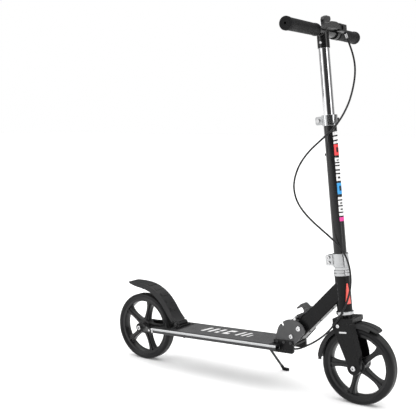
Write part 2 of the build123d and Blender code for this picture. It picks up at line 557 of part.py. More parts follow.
# raised ribs across the tread side
for k, (x, z, ang) in enumerate(((-250.5, 167.2, 54.0), (-266.8, 187.0, 47.0), (-286.0, 205.6, 40.0), (-309.0, 219.4, 27.0), (-334.0, 229.4, 16.0))):
    rib = Plane(origin=(x, 0, z), x_dir=(-math.cos(math.radians(ang)), 0, math.sin(math.radians(ang))), z_dir=(math.sin(math.radians(ang)), 0, math.cos(math.radians(ang)))).location * box(-5.2, 5.2, -15, 15, -2.0, 1.5)
    rf1 += rib
rf1 -= cyl_y(2.55, -30, 30, *FENDER_PIVOT)
save("rear_fender", rf1)

fp = FENDER_PIVOT
fb = None
for s in (1, -1):
    y0, y1 = (19.7, 24.0) if s > 0 else (-24.0, -19.7)
    e1 = prism_y([(-231.0, deck_z(-231) + 2.9), (-212.0, deck_z(-212) + 2.9), (fp[0] + 5, fp[1] + 4), (fp[0] - 5, fp[1] + 4)], y0, y1) + cyl_y(6.4, y0, y1, *fp)
    fb = e1 if fb is None else fb + e1
fbp = DECK * box(-231.5, -214.5, -36, 36, 0.05, 3.2)
fb += fbp
fb -= DECK * box(-260, -190, -60, 60, -20, 0.05)
fb += cyl_y(2.5, -26.5, 26.5, *fp) + cyl_y(4.5, 24.05, 26.5, *fp) + cyl_y(4.5, -26.5, -24.05, *fp)
for x in (-222.0,):
    for y in (-30.5, 30.5):
        fb += DECK * cyl_z(4.0, 3.1, 5.0, x, y)
save("fender_bracket", fb)

# ---------------------------------------------------------------- rear hand brake
ap = ARM_PIVOT
bb = None
for s in (1, -1):
    y0, y1 = (7.4, 10.6) if s > 0 else (-10.6, -7.4)
    e1 = prism_y([(-231.0, 113.0), (-205.0, 113.0), (-205.0, 104.0), (ap[0] + 6, ap[1]), (ap[0] - 6, ap[1])], y0, y1) + cyl_y(6.0, y0, y1, *ap)
    bb = e1 if bb is None else bb + e1
bb += box(-213.0, -205.0, -10.6, 10.6, 100.0, 113.0)
bb += box(-209.0, -205.5, -6.0, 6.0, 84.2, 104.0)
bb -= DECK * box(-300, -100, -60, 60, -4.05, 30)
bb -= cyl_x(1.2, -215, -200, 0, 88.5)
bb += cyl_y(2.95, -12.4, 12.4, *ap) + cyl_y(4.6, 10.65, 12.6, *ap) + cyl_y(4.6, -12.6, -10.65, *ap)
save("brake_bracket", bb)
ba = prism_y([(ap[0] - 5.4, ap[1] + 1), (ap[0] + 5.4, ap[1] + 1), (ap[0] + 6.2, 91.5), (ap[0] + 9.5, 88.0), (ap[0] + 6.5, 84.4), (ap[0] - 1.5, 87.5)], -4.0, 4.0)
ba += prism_y([(ap[0] - 5.8, ap[1] - 2), (ap[0] + 5.8, ap[1] + 1), (-233.0, 111.0), (-241.2, 111.0), (-241.2, 101.5)], -7.0, 7.0)
ba += cyl_y(6.2, -7.0, 7.0, *ap)
ba -= cyl_y(3.0, -20, 20, *ap)
save("brake_arm", ba)
shoe = box(-252.0, -241.25, -9.5, 9.5, 99.5, 112.0) - cyl_y(WHEEL_R + 2.4, -30, 30, -WHEELBASE / 2, WHEEL_R)
save("brake_shoe", shoe)

# ---------------------------------------------------------------- kickstand
kn_ = (0.0, 0.7346, 0.6785)
KF = Plane(origin=KICK, x_dir=(1, 0, 0), z_dir=kn_).location
leg_dir = Vector(0.07, 1.0, 0.0).normalized()
foot_r = 4.6
FOOT_T = (KICK[2] - foot_r) / (0.7346 * leg_dir.Y)
fx, fy = leg_dir.X * FOOT_T, leg_dir.Y * FOOT_T
kl = rod((0, 0, 0), (fx * 0.985, fy * 0.985, 0), 3.6) + cyl_z(7.8, -6.9, 6.9)
kl -= cyl_z(4.05, -20, 20)
save("kickstand_leg", KF * kl)
kf = rod((fx * 0.88, fy * 0.88, 0), (fx, fy, 0), 4.4) + rod((fx - 3.5, fy, 0), (fx + 16.0, fy, 0), foot_r)
kf -= rod((0, 0, 0), (fx * 0.985, fy * 0.985, 0), 3.6)
save("kickstand_foot", KF * kf)
kb = cyl_z(8.4, 7.2, 11.5) + cyl_z(8.4, -11.5, -7.2) + box(-8.4, 8.4, -10.5, 0, 7.2, 11.5) + box(-8.4, 8.4, -10.5, 0, -11.5, -7.2)
kb += box(-8.4, 8.4, -22, -8.9, -11.5, 11.5)
kb = KF * kb
kb += DECK * box(33, 64, 39.5, 58.5, -DECK_T - 3.0, -DECK_T - 0.05)
kb -= KF * cyl_z(4.0, -20, 20)
kb -= KF * cyl_z(9.1, -7.05, 7.05)
kb -= DECK * box(-100, 200, -80, 80, -DECK_T - 0.05, 40)
kb -= KF * box(-60, 60, -2, 60, -6.5, 6.5)
kbolt = KF * (cyl_z(3.97, -11.6, 11.5) + cyl_z(6.2, -15.0, -11.55))
kbolt -= DECK * box(-100, 200, -80, 80, -DECK_T - 0.1, 40)
save("kickstand_bracket", kb + kbolt)

# ---------------------------------------------------------------- brake cable
# Route points in the row frame, from the barrel adjuster to the brake arm.
CABLE = [
    (272.3, 66.7, 959.6),
    (281.9, 66.0, 937.2),
    (295.4, 64.0, 904.7),
    (304.9, 58.0, 874.7),
    (308.7, 50.0, 846.0),
    (308.7, 40.0, 815.7),
    (306.5, 24.0, 780.3),
    (301.0, 6.0, 750.8),
    (293.3, -12.0, 725.8),
    (282.9, -26.0, 706.3),
    (264.3, -36.0, 686.2),
    (244.4, -42.0, 667.5),
    (223.0, -45.0, 646.5),
    (203.5, -46.0, 621.6),
    (189.9, -46.5, 594.3),
    (182.4, -46.0, 565.1),
    (184.8, -46.5, 539.8),
    (194.6, -46.0, 514.0),
    (214.2, -45.0, 489.2),
    (239.8, -41.5, 465.3),
    (265.9, -36.0, 444.1),
    (290.6, -30.0, 423.4),
    (310.7, -25.0, 403.4),
    (325.2, -24.0, 381.4),
    (334.4, -24.0, 357.9),
    (339.0, -24.0, 331.3),
    (339.5, -26.0, 304.7),
    (335.1, -29.0, 278.9),
    (327.8, -34.0, 253.6),
    (318.6, -40.0, 231.1),
    (301.7, -41.5, 205.1),
    (276.0, -38.0, 175.9),
    (240.1, -30.0, 148.5),
    (205.0, -22.0, 128.3),
    (178.5, -12.8, 115.2),
    (147.0, -5.6, 111.2),
    (104, -4.2, 110.77),
    (60, -4.8, 108.83),
    (0, -1.8, 106.8),
    (-60, -4.8, 104.37),
    (-110, -2.6, 101.2),
    (-146, 0.4, 95.6),
    (-176, 0.3, 90.2),
    (-205.45, 0, 88.5),
]
CUTS = [("cable_upper", 0, 0.0, 9, 0.5), ("cable_loop", 9, 0.5, 22, 0.5), ("cable_head", 22, 0.5, 29, 0.5), ("cable_fold", 29, 0.5, 33, 0.5), ("cable_deck", 33, 0.5, 42, 1.0)]


def dist(p, q):
    return math.dist(p, q)


def turn(p, q, r):
    a = Vector(*q) - Vector(*p)
    b = Vector(*r) - Vector(*q)
    return a.get_angle(b)


def cable_radius(i):
    """Arc at route point i, from the two whole runs beside it."""
    run = min(dist(CABLE[i - 1], CABLE[i]), dist(CABLE[i], CABLE[i + 1]))
    return 0.45 * run / math.tan(math.radians(turn(CABLE[i - 1], CABLE[i], CABLE[i + 1]) / 2))


def cable_piece(name, i0, f0, i1, f1):
    """From fraction f0 of run i0 to fraction f1 of run i1; run i goes from point i to point i + 1."""
    def on(i, f):
        return tuple(a + (b - a) * f for a, b in zip(CABLE[i], CABLE[i + 1]))
    pts = [on(i0, f0)] + [CABLE[i] for i in range(i0 + 1, i1 + 1)] + [on(i1, f1)]
    radii = [cable_radius(i) for i in range(i0 + 1, i1 + 1)]
    wire = FilletPolyline(*pts, radius=radii)
    sec = Plane(origin=pts[0], z_dir=Vector(*pts[1]) - Vector(*pts[0])) * Circle(CABLE_R)
    tube = sweep(sec, path=wire)
    print(name, "length", round(wire.length, 1), "volume/expected", round(tube.volume / (math.pi * CABLE_R ** 2 * wire.length), 4),
          "radii", [round(r) for r in radii], "valid", tube.is_valid)
    save(name, tube)
    return wire.length


total = 0
for name, i0, f0, i1, f1 in CUTS:
    total += cable_piece(name, i0, f0, i1, f1)
print("cable length", round(total, 1), "runs", [round(dist(CABLE[i], CABLE[i + 1])) for i in range(len(CABLE) - 1)])

clips = None
for x in (-60.0, 60.0):
    y, b = -4.8, -17.6
    c = Pos(x, y, deck_z(x) + b) * Rot(0, 90 - DECK_PITCH, 0) * (Cylinder(4.8, 9) - Cylinder(3.3, 12))
    c += DECK * box(x - 4.5, x + 4.5, y - 2.2, y + 2.2, b + 3.6, -4.05)
    clips = c if clips is None else clips + c
save("cable_clips", clips)

print(len(NODES), "nodes")
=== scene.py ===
import math

import bmesh
import bpy
import numpy as np
from mathutils import Matrix, Vector
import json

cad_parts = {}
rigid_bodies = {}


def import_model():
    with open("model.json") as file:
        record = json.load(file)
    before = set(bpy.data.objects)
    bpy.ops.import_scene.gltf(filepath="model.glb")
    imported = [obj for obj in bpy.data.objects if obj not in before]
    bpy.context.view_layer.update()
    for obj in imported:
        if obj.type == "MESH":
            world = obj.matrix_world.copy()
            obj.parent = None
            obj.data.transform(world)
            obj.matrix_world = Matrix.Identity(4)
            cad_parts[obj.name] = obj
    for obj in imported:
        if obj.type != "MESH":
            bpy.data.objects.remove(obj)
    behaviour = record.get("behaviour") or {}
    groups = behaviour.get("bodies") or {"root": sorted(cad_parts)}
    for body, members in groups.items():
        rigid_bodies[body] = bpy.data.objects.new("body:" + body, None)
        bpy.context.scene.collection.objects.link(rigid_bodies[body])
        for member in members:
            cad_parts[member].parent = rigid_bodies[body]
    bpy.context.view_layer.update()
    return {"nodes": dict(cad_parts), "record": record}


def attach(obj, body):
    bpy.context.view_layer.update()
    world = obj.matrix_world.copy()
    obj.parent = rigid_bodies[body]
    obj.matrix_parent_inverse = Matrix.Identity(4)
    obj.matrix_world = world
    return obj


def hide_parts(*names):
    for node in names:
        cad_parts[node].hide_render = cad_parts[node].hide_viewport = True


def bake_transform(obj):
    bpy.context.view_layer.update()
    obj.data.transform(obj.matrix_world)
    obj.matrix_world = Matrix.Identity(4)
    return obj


for o in list(bpy.data.objects):
    bpy.data.objects.remove(o)
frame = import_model()
NODES = frame["nodes"]

# ------------------------------------------------------------------ frames
WB, LEAN, OFFS, BAR_S = 0.710, math.radians(5.8), 0.0289, 0.869
AX0 = Vector((WB / 2 - OFFS * math.cos(LEAN), 0, 0.1 - OFFS * math.sin(LEAN)))
SU = Vector((math.cos(LEAN), 0, math.sin(LEAN)))
SV = Vector((0, 1, 0))
SD = Vector((-math.sin(LEAN), 0, math.cos(LEAN)))
PITCH = math.radians(2.13)
DX = Vector((math.cos(PITCH), 0, math.sin(PITCH)))
DN = Vector((-math.sin(PITCH), 0, math.cos(PITCH)))
DO = Vector((0, 0, 0.1242))
NECKA = math.radians(46.6)
NX = Vector((math.cos(NECKA), 0, math.sin(NECKA)))
NN = Vector((-math.sin(NECKA), 0, math.cos(NECKA)))
NO = Vector((0.1725, 0, 0.154))


def st(u, v, s):
    """A point given in millimetres along the steering frame: forward, left, up the axis."""
    return AX0 + (SU * u + SV * v + SD * s) * 0.001


def dk(a, y, b):
    """A point given in millimetres in the deck's frame: forward, left, above the deck."""
    return DO + (DX * a + SV * y + DN * b) * 0.001


def nc(t, y, m):
    """A point given in millimetres in the neck's frame: along it, left, square to it."""
    return NO + (NX * t + SV * y + NN * m) * 0.001


# ------------------------------------------------------------------ camera
AZ, EL, ROLL = math.radians(33.88), math.radians(3.23), math.radians(0.24)
back = Vector((math.sin(AZ) * math.cos(EL), -math.cos(AZ) * math.cos(EL), math.sin(EL)))
right = (-back).cross(Vector((0, 0, 1))).normalized()
up = right.cross(-back)
r2 = right * math.cos(ROLL) + up * math.sin(ROLL)
u2 = -right * math.sin(ROLL) + up * math.cos(ROLL)
cam_data = bpy.data.cameras.new("camera")
cam = bpy.data.objects.new("camera", cam_data)
bpy.context.scene.collection.objects.link(cam)
cam.matrix_world = Matrix(((r2.x, u2.x, back.x, 1.19485), (r2.y, u2.y, back.y, -1.86182), (r2.z, u2.z, back.z, 0.71854), (0, 0, 0, 1)))
cam_data.sensor_width = 36.0
cam_data.lens = 792.97 * 36.0 / 416.0
cam_data.shift_x = (208.0 - 228.2) / 416.0
cam_data.shift_y = (169.1 - 208.0) / 416.0
cam_data.clip_start, cam_data.clip_end = 0.05, 60.0
bpy.context.scene.camera = cam

# ------------------------------------------------------------------ materials
class Graph:
    def __init__(self, name):
        self.mat = bpy.data.materials.new(name)
        self.mat.use_nodes = True
        self.t = self.mat.node_tree
        self.t.nodes.clear()
        self.out = self.n("ShaderNodeOutputMaterial")
        self.b = self.n("ShaderNodeBsdfPrincipled")
        self.t.links.new(self.b.outputs[0], self.out.inputs[0])
        self.co = self.n("ShaderNodeTexCoord").outputs["Object"]

    def n(self, kind, **props):
        node = self.t.nodes.new(kind)
        for k, v in props.items():
            setattr(node, k, v)
        return node

    def link(self, a, b):
        self.t.links.new(a, b)

    def put(self, socket, value):
        if hasattr(value, "links"):
            self.link(value, socket)
        else:
            socket.default_value = value

    def math(self, op, a, b=0.0, c=0.0, clamp=False):
        m = self.n("ShaderNodeMath", operation=op, use_clamp=clamp)
        for i, v in enumerate((a, b, c)):
            if i < len(m.inputs):
                self.put(m.inputs[i], v)
        return m.outputs[0]

    def dot(self, v):
        m = self.n("ShaderNodeVectorMath", operation="DOT_PRODUCT")
        self.link(self.co, m.inputs[0])
        m.inputs[1].default_value = v
        return m.outputs["Value"]

    def scaled(self, sx, sy, sz):
        m = self.n("ShaderNodeVectorMath", operation="MULTIPLY")
        self.link(self.co, m.inputs[0])
        m.inputs[1].default_value = (sx, sy, sz)
        return m.outputs[0]

    def noise(self, scale, detail=3.0, rough=0.55, vec=None, distortion=0.0):
        m = self.n("ShaderNodeTexNoise")
        self.link(vec or self.co, m.inputs["Vector"])
        m.inputs["Scale"].default_value = scale
        m.inputs["Detail"].default_value = detail
        m.inputs["Roughness"].default_value = rough
        m.inputs["Distortion"].default_value = distortion
        return m.outputs["Fac"]

    def voronoi(self, scale, feature="F1", vec=None, out="Distance"):
        m = self.n("ShaderNodeTexVoronoi", feature=feature)
        self.link(vec or self.co, m.inputs["Vector"])
        m.inputs["Scale"].default_value = scale
        return m.outputs[out]

    def ramp(self, fac, stops):
        m = self.n("ShaderNodeValToRGB")
        self.link(fac, m.inputs[0])
        e = m.color_ramp.elements
        while len(e) < len(stops):
            e.new(0.5)
        for el, (p, c) in zip(e, stops):
            el.position = p
            el.color = (c, c, c, 1) if isinstance(c, (int, float)) else (*c, 1)
        return m.outputs[0]

    def span(self, fac, a, b, c, d):
        m = self.n("ShaderNodeMapRange")
        self.link(fac, m.inputs[0])
        for i, v in enumerate((a, b, c, d)):
            m.inputs[i + 1].default_value = v
        return m.outputs[0]

    def mix(self, fac, a, b):
        m = self.n("ShaderNodeMix", data_type="RGBA")
        self.put(m.inputs[0], fac)
        for s, v in ((m.inputs[6], a), (m.inputs[7], b)):
            if hasattr(v, "links"):
                self.link(v, s)
            else:
                s.default_value = (*v, 1)
        return m.outputs[2]

    def mixf(self, fac, a, b):
        m = self.n("ShaderNodeMix", data_type="FLOAT")
        self.put(m.inputs[0], fac)
        self.put(m.inputs[2], a)
        self.put(m.inputs[3], b)
        return m.outputs[0]

    def bump(self, height, strength, distance, normal=None):
        m = self.n("ShaderNodeBump")
        self.link(height, m.inputs["Height"])
        m.inputs["Strength"].default_value = strength
        m.inputs["Distance"].default_value = distance
        if normal is not None:
            self.link(normal, m.inputs["Normal"])
        return m.outputs[0]

    def edges(self, radius, lo=0.004, hi=0.05):
        """A mask that is 1 along sharp edges."""
        bv = self.n("ShaderNodeBevel", samples=4)
        bv.inputs["Radius"].default_value = radius
        g = self.n("ShaderNodeNewGeometry")
        d = self.n("ShaderNodeVectorMath", operation="DOT_PRODUCT")
        self.link(bv.outputs[0], d.inputs[0])
        self.link(g.outputs["Normal"], d.inputs[1])
        return self.span(self.math("SUBTRACT", 1.0, d.outputs["Value"]), lo, hi, 0.0, 1.0)

    def done(self, color, rough, normal=None, metallic=0.0, coat=None, spec=None, ior=None):
        b = self.b
        if hasattr(color, "links"):
            self.link(color, b.inputs["Base Color"])
        else:
            b.inputs["Base Color"].default_value = (*color, 1)
        self.put(b.inputs["Roughness"], rough)
        self.put(b.inputs["Metallic"], metallic)
        if normal is not None:
            self.link(normal, b.inputs["Normal"])
        if coat:
            b.inputs["Coat Weight"].default_value = coat[0]
            b.inputs["Coat Roughness"].default_value = coat[1]
        if spec is not None:
            b.inputs["Specular IOR Level"].default_value = spec
        if ior is not None:
            b.inputs["IOR"].default_value = ior
        return self.mat


def paint(name, base, lighter, rough=(0.30, 0.42), peel=0.10, wear=(0.30, 0.30, 0.31), amount=0.55, coat=None, width=0.0007, spec=0.3):
    g = Graph(name)
    broad = g.noise(9.0, 4.0)
    col = g.mix(g.span(broad, 0.35, 0.68, 0.0, 1.0), base, lighter)
    fleck = g.span(g.noise(2400.0, 2.0), 0.60, 0.78, 0.0, 0.35)
    col = g.mix(fleck, col, tuple(min(1, c * 2.2) for c in lighter))
    scuff = g.math("MULTIPLY", g.edges(width), g.span(g.noise(210.0, 4.0, 0.7), 0.44, 0.66, 0.0, amount))
    col = g.mix(scuff, col, wear)
    r = g.span(g.noise(38.0, 5.0, 0.6), 0.3, 0.7, rough[0], rough[1])
    r = g.mixf(scuff, r, 0.45)
    n = g.bump(g.noise(720.0, 2.0, 0.5), peel, 0.0004)
    return g.done(col, r, n, coat=coat, spec=spec)


def bare_metal(name, base, dark, rough, stretch=(1, 1, 1), grain=900.0, amount=0.25, metallic=1.0, wear=True):
    g = Graph(name)
    v = g.scaled(*stretch)
    line = g.noise(grain, 3.0, 0.6, vec=v)
    col = g.mix(g.span(line, 0.3, 0.75, 0.0, 1.0), base, dark)
    grime = g.span(g.noise(60.0, 5.0, 0.65), 0.55, 0.8, 0.0, 0.35)
    col = g.mix(grime, col, tuple(c * 0.62 for c in dark))
    r = g.span(g.noise(70.0, 5.0, 0.65), 0.3, 0.75, rough[0], rough[1])
    n = g.bump(line, amount, 0.00008)
    return g.done(col, r, n, metallic=metallic)


def moulded(name, base, lighter, rough=(0.42, 0.58), grain=1500.0, depth=0.00012, strength=0.35, scuffs=0.35, coat=None, wearc=(0.10, 0.10, 0.105), spec=0.28):
    g = Graph(name)
    cell = g.voronoi(grain)
    col = g.mix(g.span(g.noise(16.0, 4.0), 0.35, 0.7, 0.0, 1.0), base, lighter)
    edge = g.math("MULTIPLY", g.edges(0.0008), g.span(g.noise(160.0, 4.0, 0.7), 0.42, 0.7, 0.0, scuffs))
    dust = g.span(g.noise(7.0, 6.0, 0.7), 0.52, 0.82, 0.0, 0.10)
    col = g.mix(edge, col, wearc)
    col = g.mix(dust, col, (0.16, 0.155, 0.15))
    r = g.span(g.noise(45.0, 4.0), 0.3, 0.7, rough[0], rough[1])
    n = g.bump(cell, strength, depth)
    return g.done(col, r, n, coat=coat, spec=spec)


M = {}
M["black_paint"] = paint("black_paint", (0.0045, 0.0045, 0.0048), (0.0075, 0.0075, 0.0078), rough=(0.15, 0.25), peel=0.06, spec=0.38)
M["satin_black"] = paint("satin_black", (0.0050, 0.0050, 0.0053), (0.0085, 0.0085, 0.0088), rough=(0.22, 0.34), peel=0.12, spec=0.13)
M["plate_grey"] = paint("plate_grey", (0.060, 0.060, 0.061), (0.078, 0.078, 0.079), rough=(0.38, 0.52), peel=0.16, wear=(0.42, 0.42, 0.43), amount=0.5)
M["lever_grey"] = paint("lever_grey", (0.040, 0.040, 0.041), (0.055, 0.055, 0.056), rough=(0.32, 0.46), wear=(0.45, 0.45, 0.46), amount=0.6)
M["polished_alloy"] = bare_metal("polished_alloy", (0.46, 0.465, 0.47), (0.33, 0.335, 0.34), (0.10, 0.20), stretch=(1, 1, 14), grain=500.0)
M["zinc_steel"] = bare_metal("zinc_steel", (0.58, 0.58, 0.585), (0.46, 0.46, 0.465), (0.16, 0.30), grain=1200.0)
M["chrome_tube"] = bare_metal("chrome_tube", (0.66, 0.66, 0.67), (0.60, 0.60, 0.61), (0.035, 0.075), grain=260.0, amount=0.02)
M["steerer"] = bare_metal("steerer", (0.55, 0.55, 0.56), (0.42, 0.42, 0.43), (0.3, 0.45), grain=700.0)
M["black_nylon"] = moulded("black_nylon", (0.0065, 0.0065, 0.007), (0.011, 0.011, 0.0115), rough=(0.28, 0.42))
M["rim_nylon"] = moulded("rim_nylon", (0.0075, 0.0075, 0.008), (0.012, 0.012, 0.0125), rough=(0.26, 0.40), grain=1100.0)
M["lever_black"] = moulded("lever_black", (0.0075, 0.0075, 0.008), (0.012, 0.012, 0.0125), rough=(0.22, 0.34), grain=2200.0, strength=0.12, coat=(0.25, 0.2))
M["rubber"] = moulded("rubber", (0.0062, 0.0062, 0.0066), (0.0105, 0.0105, 0.011), rough=(0.55, 0.7), grain=2600.0, strength=0.5, scuffs=0.2, spec=0.11)
M["cable_sheath"] = moulded("cable_sheath", (0.006, 0.006, 0.0065), (0.010, 0.010, 0.0105), rough=(0.28, 0.4), grain=3000.0, strength=0.1, scuffs=0.1)

# tyre: fine turned lines round the tread, a little road dust on it
def tyre_material(cx):
    g = Graph("wheel_pu_" + ("front" if cx > 0 else "rear"))
    x = g.math("SUBTRACT", g.dot((1, 0, 0)), cx)
    z = g.math("SUBTRACT", g.dot((0, 0, 1)), 0.1)
    rad = g.math("SQRT", g.math("ADD", g.math("MULTIPLY", x, x), g.math("MULTIPLY", z, z)))
    y = g.math("ABSOLUTE", g.dot((0, 1, 0)))
    base = g.mix(g.span(g.noise(14.0, 4.0), 0.35, 0.7, 0.0, 1.0), (0.0055, 0.0055, 0.006), (0.010, 0.010, 0.0105))
    tread = g.math("MULTIPLY", g.span(rad, 0.0972, 0.0992, 0.0, 1.0), g.span(g.noise(120.0, 5.0, 0.7), 0.35, 0.7, 0.15, 0.75))
    col = g.mix(g.math("MULTIPLY", tread, 0.35), base, (0.085, 0.083, 0.080))
    rough = g.mixf(tread, g.span(g.noise(50.0, 4.0), 0.3, 0.7, 0.30, 0.42), 0.62)
    lines = g.math("SINE", g.math("MULTIPLY", rad, 7200.0))
    cross = g.math("SINE", g.math("MULTIPLY", y, 5200.0))
    h = g.math("ADD", g.math("MULTIPLY", lines, 0.35), g.math("ADD", g.math("MULTIPLY", cross, 0.3), g.noise(1500.0, 2.0)))
    return g.done(col, rough, g.bump(h, 0.18, 0.0001), spec=0.2)


M["tyre_front"] = tyre_material(WB / 2)
M["tyre_rear"] = tyre_material(-WB / 2)


# grip tape: crushed grit, with lighter grains and worn, dusty foot areas
def tape_material():
    g = Graph("grip_tape")
    grit = g.voronoi(1250.0)
    fine = g.noise(3200.0, 3.0, 0.7)
    base = g.mix(g.span(g.noise(26.0, 5.0, 0.6), 0.3, 0.72, 0.0, 1.0), (0.046, 0.046, 0.047), (0.066, 0.066, 0.067))
    grain = g.math("MULTIPLY", g.span(grit, 0.15, 0.42, 1.0, 0.0), g.span(g.voronoi(1250.0, out="Color"), 0.35, 0.9, 0.0, 0.55))
    col = g.mix(grain, base, (0.20, 0.20, 0.205))
    pit = g.span(fine, 0.30, 0.45, 0.6, 0.0)
    col = g.mix(pit, col, (0.012, 0.012, 0.012))
    h = g.math("ADD", g.math("MULTIPLY", grit, -0.9), fine)
    return g.done(col, g.span(fine, 0.3, 0.7, 0.62, 0.9), g.bump(h, 0.75, 0.0007))


M["grip_tape"] = tape_material()


# deck: black anodised sides, bright machined strips along both top edges, extrusion lines along its length
def deck_material():
    g = Graph("deck_finish")
    b = g.math("SUBTRACT", g.dot(tuple(DN)), DO.dot(DN))
    y = g.math("ABSOLUTE", g.dot((0, 1, 0)))
    strip = g.math("MULTIPLY", g.math("GREATER_THAN", y, 0.0570), g.math("GREATER_THAN", b, -0.0058))
    v = g.scaled(3.0, 120.0, 120.0)
    line = g.noise(22.0, 4.0, 0.6, vec=v)
    black = g.mix(g.span(g.noise(10.0, 4.0), 0.3, 0.7, 0.0, 1.0), (0.0095, 0.0095, 0.010), (0.015, 0.015, 0.0155))
    scuff = g.math("MULTIPLY", g.edges(0.0008), g.span(g.noise(180.0, 4.0, 0.7), 0.46, 0.68, 0.0, 0.5))
    black = g.mix(scuff, black, (0.30, 0.30, 0.31))
    bright = g.mix(g.span(line, 0.3, 0.7, 0.0, 1.0), (0.50, 0.505, 0.51), (0.38, 0.385, 0.39))
    col = g.mix(strip, black, bright)
    rough = g.mixf(strip, g.span(line, 0.3, 0.7, 0.30, 0.44), g.span(line, 0.3, 0.7, 0.34, 0.48))
    return g.done(col, rough, g.bump(line, 0.10, 0.0001), metallic=g.math("MULTIPLY", strip, 0.85))


M["deck"] = deck_material()


# hinge screws: bright domes above, blackened flange screws below
def hinge_bolt_material():
    g = Graph("hinge_bolts")
    low = g.math("LESS_THAN", g.dot((0, 0, 1)), 0.146)
    worn = g.math("MULTIPLY", g.edges(0.0005), g.span(g.noise(300.0, 4.0), 0.42, 0.62, 0.0, 0.7))
    bright = g.mix(g.span(g.noise(500.0, 3.0), 0.3, 0.75, 0.0, 1.0), (0.66, 0.66, 0.665), (0.50, 0.50, 0.505))
    dark = g.mix(worn, g.mix(g.span(g.noise(150.0, 3.0), 0.3, 0.7, 0.0, 1.0), (0.018, 0.018, 0.019), (0.030, 0.030, 0.031)), (0.30, 0.30, 0.31))
    rough = g.mixf(low, g.span(g.noise(70.0, 4.0), 0.3, 0.7, 0.18, 0.30), 0.42)
    return g.done(g.mix(low, bright, dark), rough, g.bump(g.noise(900.0, 2.0), 0.15, 0.00008), metallic=g.mixf(low, 1.0, 0.5))


M["hinge_bolts"] = hinge_bolt_material()


def reflector_material():
    g = Graph("reflector_red")
    cell = g.voronoi(620.0, feature="DISTANCE_TO_EDGE")
    c2 = g.voronoi(620.0, out="Color")
    col = g.mix(g.span(cell, 0.0, 0.12, 0.0, 1.0), (0.55, 0.012, 0.010), (0.86, 0.045, 0.030))
    col = g.mix(g.math("MULTIPLY", c2, 0.35), col, (0.98, 0.22, 0.14))
    n = g.bump(c2, 0.35, 0.0006)
    return g.done(col, g.span(cell, 0.0, 0.2, 0.35, 0.18), n, coat=(0.9, 0.05))


M["reflector_red"] = reflector_material()


def decal_material(name, c):
    g = Graph(name)
    d = tuple(x * 0.80 for x in c)
    col = g.mix(g.span(g.noise(90.0, 5.0, 0.7), 0.35, 0.75, 0.0, 1.0), c, d)
    chip = g.span(g.noise(420.0, 5.0, 0.75), 0.70, 0.74, 0.0, 0.8)
    col = g.mix(chip, col, (0.03, 0.03, 0.03))
    return g.done(col, g.span(g.noise(60.0, 3.0), 0.3, 0.7, 0.28, 0.42), g.bump(g.noise(700.0, 2.0), 0.08, 0.0002))


for nm, c in (("white", (0.82, 0.82, 0.82)), ("red", (0.80, 0.045, 0.05)), ("blue", (0.03, 0.33, 0.72)), ("pink", (0.80, 0.05, 0.33))):
    M["decal_" + nm] = decal_material("decal_" + nm, c)

SLOT = {n["node"]: n["material_slot"] for n in frame["record"]["subparts"]}
OWN = {"deck": "deck", "steerer_tube": "steerer", "front_rim": "rim_nylon", "rear_rim": "rim_nylon", "hinge_plates": "plate_grey", "lock_lever": "lever_grey",
       "brake_arm": "lever_grey", "rear_tyre": "tyre_rear", "front_tyre": "tyre_front", "lever_bracket": "lever_grey", "hinge_screws": "hinge_bolts", "headset_nuts": "polished_alloy", "hinge_base": "satin_black", "rear_arms": "satin_black",
       "neck_tube": "satin_black", "head_tube": "satin_black", "hinge_knuckle": "satin_black", "fork_crown": "satin_black", "fork_legs": "satin_black"}
for name, ob in NODES.items():
    m = M[OWN.get(name) or (SLOT[name] if SLOT[name] in M else "black_paint")]
    ob.data.materials.clear()
    ob.data.materials.append(m)

# ------------------------------------------------------------------ mesh helpers
def piece(name, verts, faces, mat, body, smooth=35.0):
    me = bpy.data.meshes.new(name)
    me.from_pydata([tuple(v) for v in verts], [], faces)
    return finish_piece(name, me, mat, body, smooth)


def finish_piece(name, me, mat, body, smooth=35.0):
    bm = bmesh.new()
    bm.from_mesh(me)
    bmesh.ops.recalc_face_normals(bm, faces=bm.faces)
    bm.to_mesh(me)
    bm.free()
    me.polygons.foreach_set("use_smooth", [True] * len(me.polygons))
    me.set_sharp_from_angle(angle=math.radians(smooth))
    me.materials.clear()
    me.materials.append(M[mat])
    o = bpy.data.objects.new(name, me)
    bpy.context.scene.collection.objects.link(o)
    if body:
        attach(o, body)
    return o


def refine(node, body, width=0.0006, angle=32.0, segments=2, mat=None):
    """The CAD node's own shape with its sharp edges broken by a small round."""
    src = NODES[node]
    bm = bmesh.new()
    bm.from_mesh(src.data)
    bmesh.ops.remove_doubles(bm, verts=bm.verts, dist=2e-7)
    bmesh.ops.dissolve_limit(bm, angle_limit=math.radians(0.6), verts=bm.verts, edges=bm.edges)
    sharp = [e for e in bm.edges if len(e.link_faces) == 2 and e.calc_face_angle(0) > math.radians(angle)]
    bmesh.ops.bevel(bm, geom=sharp, offset=width, offset_type="OFFSET", segments=segments, profile=0.5, affect="EDGES", clamp_overlap=True, miter_outer="ARC" if False else "SHARP")
    me = bpy.data.meshes.new(node + "_skin")
    bm.to_mesh(me)
    bm.free()
    me.polygons.foreach_set("use_smooth", [True] * len(me.polygons))
    me.set_sharp_from_angle(angle=math.radians(46))
    me.materials.append(mat or src.data.materials[0])
    o = bpy.data.objects.new(node + "_skin", me)
    bpy.context.scene.collection.objects.link(o)
    wn_ = o.modifiers.new("face_normals", "WEIGHTED_NORMAL")
    wn_.keep_sharp = True
    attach(o, body)
    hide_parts(node)
    return o


def frame_at(d):
    d = d.normalized()
    a = Vector((0, 1, 0)) if abs(d.y) < 0.9 else Vector((1, 0, 0))
    u = a.cross(d).normalized()
    return u, d.cross(u)


